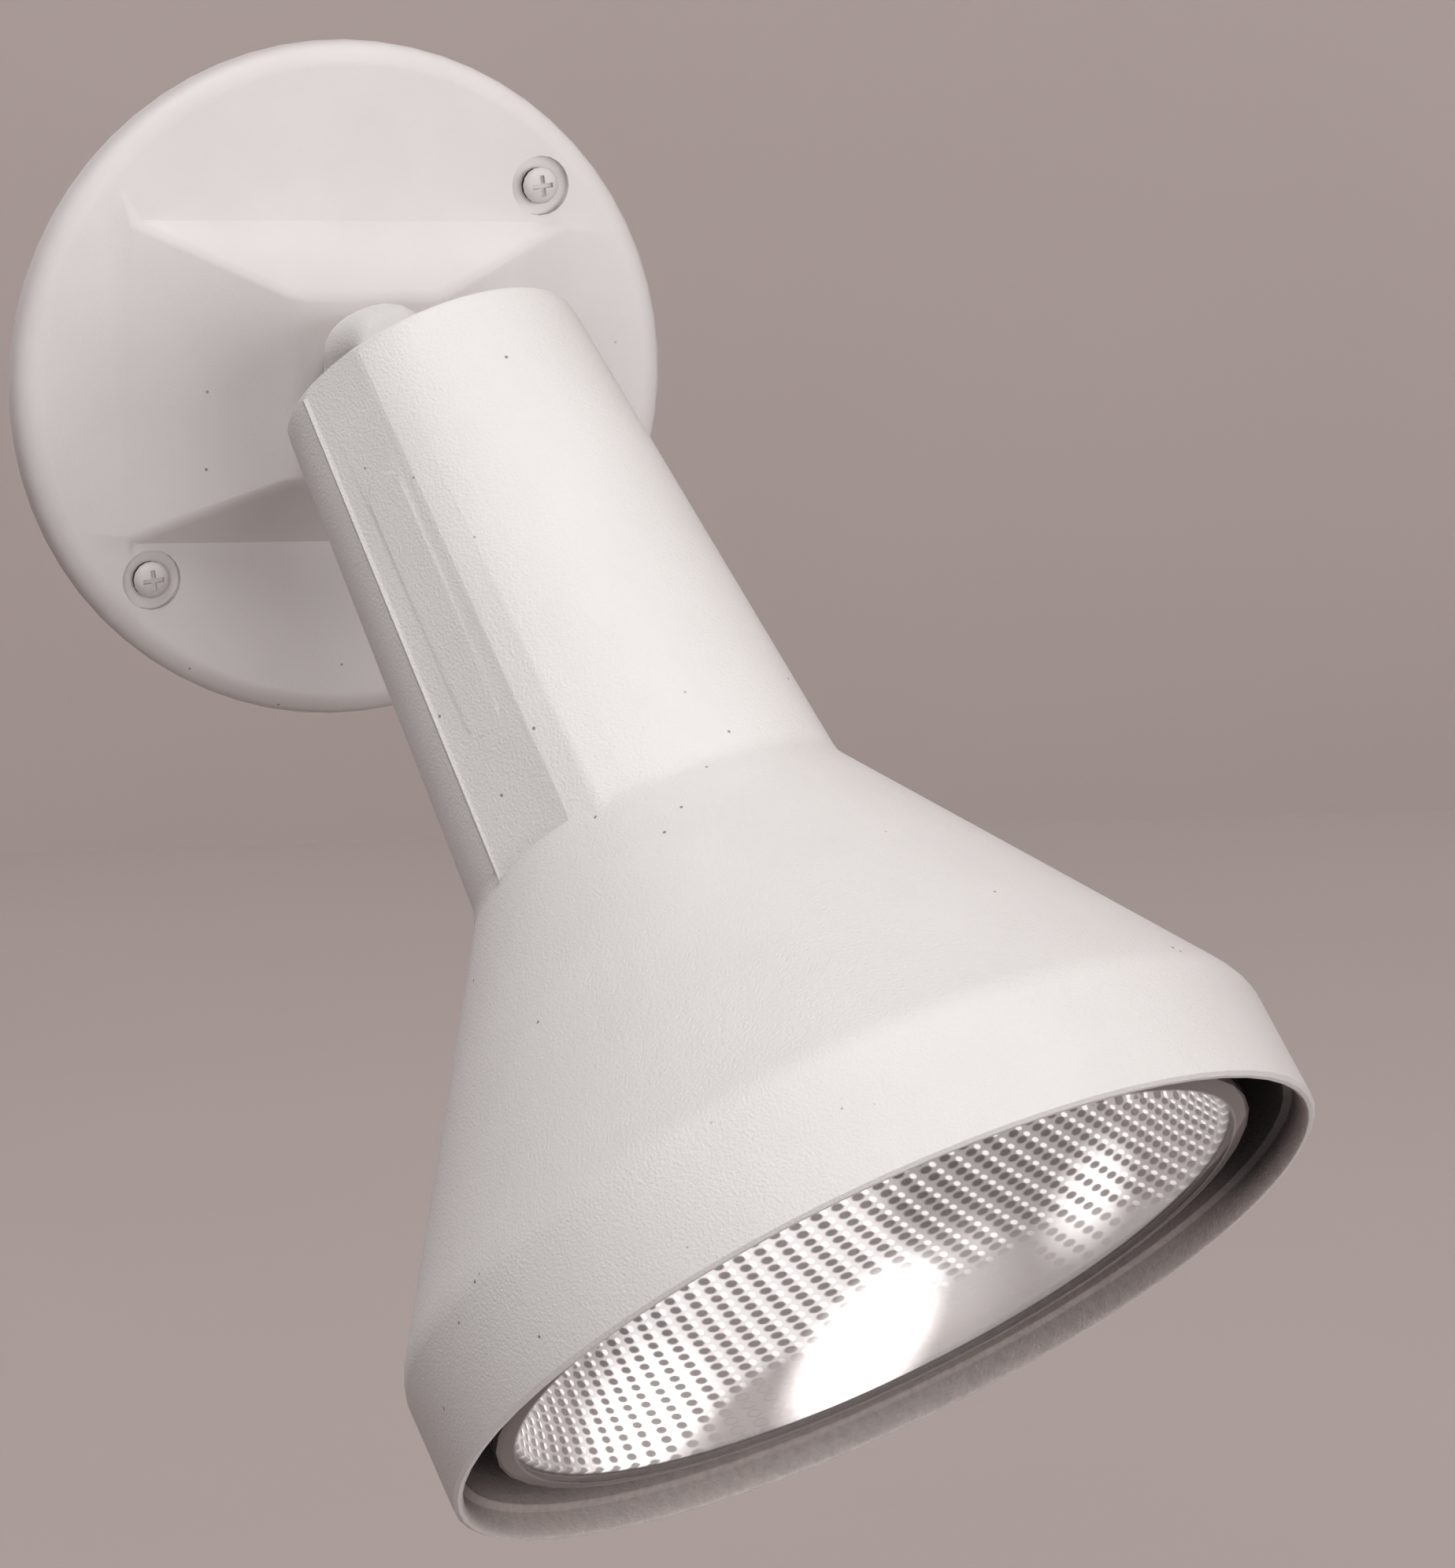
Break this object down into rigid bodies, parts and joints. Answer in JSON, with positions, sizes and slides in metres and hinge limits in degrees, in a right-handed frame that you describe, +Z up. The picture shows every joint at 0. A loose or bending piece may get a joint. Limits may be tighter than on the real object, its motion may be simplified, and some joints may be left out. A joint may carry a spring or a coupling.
{
  "type": "outdoor reflector floodlight on a round box cover",
  "caption": "White outdoor floodlight: a PAR38 reflector lamp in a flared housing that tilts and swivels on a knuckle arm over a round outlet box cover.",
  "frame": {"origin": "the highest point of the cover rim's flat back face, which lies on the wall plane; the cover's centre is 52.4 mm below it", "axes": "+Z up, -Y out of the wall towards the room, +X to the right as seen from the room"},
  "size_m": [0.1604, 0.2049, 0.2182],
  "materials": {
    "cast_white": "white powder coat with a fine grain",
    "cover_white": "white powder coat, smoother than the housing",
    "screw_white": "painted steel screw",
    "foam": "closed cell gasket",
    "seal_rubber": "matt moulded rubber",
    "zinc_steel": "zinc plated",
    "porcelain": "glazed",
    "brass": "drawn",
    "aluminised_glass": "pressed glass with an aluminised inside",
    "clear_glass": "clear pressed glass",
    "black_glass": "black insulator glass"
  },
  "bodies": {
    "cover": {"cover_plate": "cover_white", "cover_gasket": "foam", "cover_screw_upper": "screw_white", "cover_screw_lower": "screw_white", "screw_seal_upper": "seal_rubber", "screw_seal_lower": "seal_rubber", "stem_seal": "seal_rubber"},
    "arm": {"swivel_arm": "cast_white", "stem_locknut": "zinc_steel", "stem_lock_washer": "zinc_steel"},
    "head": {"head_housing": "cast_white", "knuckle_screw": "zinc_steel", "friction_washer_left": "seal_rubber", "friction_washer_right": "seal_rubber", "lead_grommet": "seal_rubber", "socket_body": "porcelain", "socket_shell": "brass", "socket_contact": "brass", "socket_screw_left": "zinc_steel", "socket_screw_right": "zinc_steel", "lamp_gasket": "seal_rubber"},
    "lamp": {"lamp_reflector": "aluminised_glass", "lamp_lens": "clear_glass", "lamp_base_shell": "brass", "lamp_base_insulator": "black_glass", "lamp_base_contact": "brass", "burner_capsule": "clear_glass", "burner_support_left": "zinc_steel", "burner_support_right": "zinc_steel"}
  },
  "joints": [
    {"name": "swivel", "type": "hinge", "parent": "cover", "child": "arm", "pos_m": [0, 0, -0.0524], "axis": [0, -1, 0], "range_deg": [-170, 170]},
    {"name": "tilt", "type": "hinge", "parent": "arm", "child": "head", "pos_m": [0, -0.05778, -0.0524], "axis": [0.9498, 0, 0.3128], "range_deg": [-54, 20]},
    {"name": "lamp_unscrew", "type": "slide", "parent": "head", "child": "lamp", "axis": [0.2539, -0.584, -0.771], "range_m": [0, 0.03]}
  ]
}
